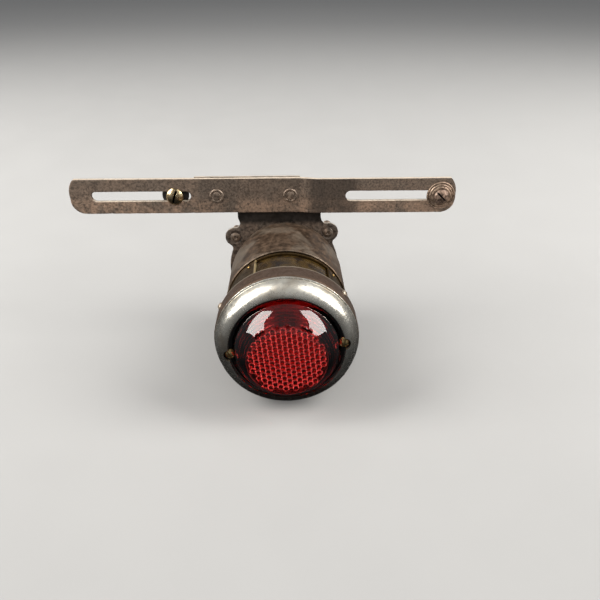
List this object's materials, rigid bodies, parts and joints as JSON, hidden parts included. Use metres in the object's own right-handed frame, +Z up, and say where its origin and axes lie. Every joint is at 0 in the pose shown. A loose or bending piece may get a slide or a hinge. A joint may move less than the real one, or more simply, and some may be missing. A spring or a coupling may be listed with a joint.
{
  "type": "tail light",
  "caption": "Round vintage motorcycle tail lamp with a red glass lens and plated bezel, riveted under a slotted number-plate bar, with an amber window that lights the plate.",
  "frame": {"origin": "where the lamp's axis meets the back face of the mounting bracket", "axes": "+Z up, +X along the number-plate bar to the right of someone facing the lens, +Y from the lens towards the machine along the lamp's axis"},
  "size_m": [0.2759, 0.1467, 0.1178],
  "materials": {
    "bar_steel": "pitted steel strip, brown patina",
    "bracket_steel": "dark worn steel sheet",
    "rivet_steel": "patinated rivet heads",
    "stud_steel": "oxidised steel fasteners",
    "body_steel": "bare steel with brown patina and grey rubbed areas",
    "drum_brass": "aged brass sheet",
    "window_amber": "aged amber celluloid sheet",
    "frame_brass": "aged brass strip",
    "rubber_black": "matt black rubber",
    "cork": "compressed cork",
    "reflector_silver": "silvered dish, slightly tarnished",
    "socket_brass": "dull brass",
    "insulator_fibre": "red-brown vulcanised fibre",
    "spring_steel": "bright spring wire",
    "contact_brass": "turned brass",
    "bulb_cap_brass": "thin brass cap",
    "solder": "dull solder",
    "bulb_glass": "clear thin glass",
    "filament": "wire supports on a glass bead",
    "lens_red": "deep red pressed glass with moulded prisms",
    "lens_screw_brass": "small tarnished brass screws",
    "bezel_chrome": "worn and scratched plating",
    "skirt_chrome": "dulled plating with brown wear",
    "bezel_screw_steel": "small plated screws",
    "plate_screw_brass": "shiny oval brass head",
    "plate_screw_steel": "rusty screw and cup washer",
    "nut_steel": "oxidised hexagon nuts"
  },
  "bodies": {
    "lamp": {"number_plate_bar": "bar_steel", "mounting_bracket": "bracket_steel", "bar_rivets": "rivet_steel", "ear_studs": "stud_steel", "lamp_body": "body_steel", "body_rivets": "rivet_steel", "cable_grommet": "rubber_black", "window_drum": "drum_brass", "plate_window": "window_amber", "window_frame": "frame_brass", "window_rivets": "frame_brass", "reflector": "reflector_silver", "bulb_socket": "socket_brass", "socket_rivets": "socket_brass", "contact_insulator": "insulator_fibre", "contact_spring": "spring_steel", "lens_seat_gasket": "cork", "lens": "lens_red", "lens_gasket": "rubber_black", "lens_screws": "lens_screw_brass", "lens_screw_nuts": "lens_screw_brass", "bezel_skirt": "skirt_chrome", "bezel_ring": "bezel_chrome", "bezel_screws": "bezel_screw_steel"},
    "left_clamp": {"left_plate_washer": "rubber_black", "left_plate_nut": "nut_steel"},
    "left_screw": {"left_plate_screw": "plate_screw_brass"},
    "right_clamp": {"right_cup_washer": "plate_screw_steel", "right_plate_nut": "nut_steel"},
    "right_screw": {"right_plate_screw": "plate_screw_steel"},
    "bulb": {"bulb_base": "bulb_cap_brass", "bulb_contact": "solder", "bulb_glass": "bulb_glass", "bulb_filament": "filament", "contact_plunger": "contact_brass", "terminal_nut": "contact_brass"}
  },
  "joints": [
    {"name": "left_clamp_slide", "type": "slide", "parent": "lamp", "child": "left_clamp", "axis": [1, 0, 0], "range_m": [-0.0568, 0.0044]},
    {"name": "left_screw_turn", "type": "hinge", "parent": "left_clamp", "child": "left_screw", "pos_m": [-0.0789, -0.0052, 0.0584], "axis": [0, 1, 0], "continuous": true},
    {"name": "right_clamp_slide", "type": "slide", "parent": "lamp", "child": "right_clamp", "axis": [1, 0, 0], "range_m": [-0.0654, 0.0003]},
    {"name": "right_screw_turn", "type": "hinge", "parent": "right_clamp", "child": "right_screw", "pos_m": [0.1114, -0.01, 0.0584], "axis": [0, 1, 0], "continuous": true},
    {"name": "bulb_push", "type": "slide", "parent": "lamp", "child": "bulb", "axis": [0, 1, 0], "range_m": [0, 0.0018], "stiffness_N_per_m": 1200, "springref_m": -0.002, "deforming": ["contact_spring"]}
  ]
}
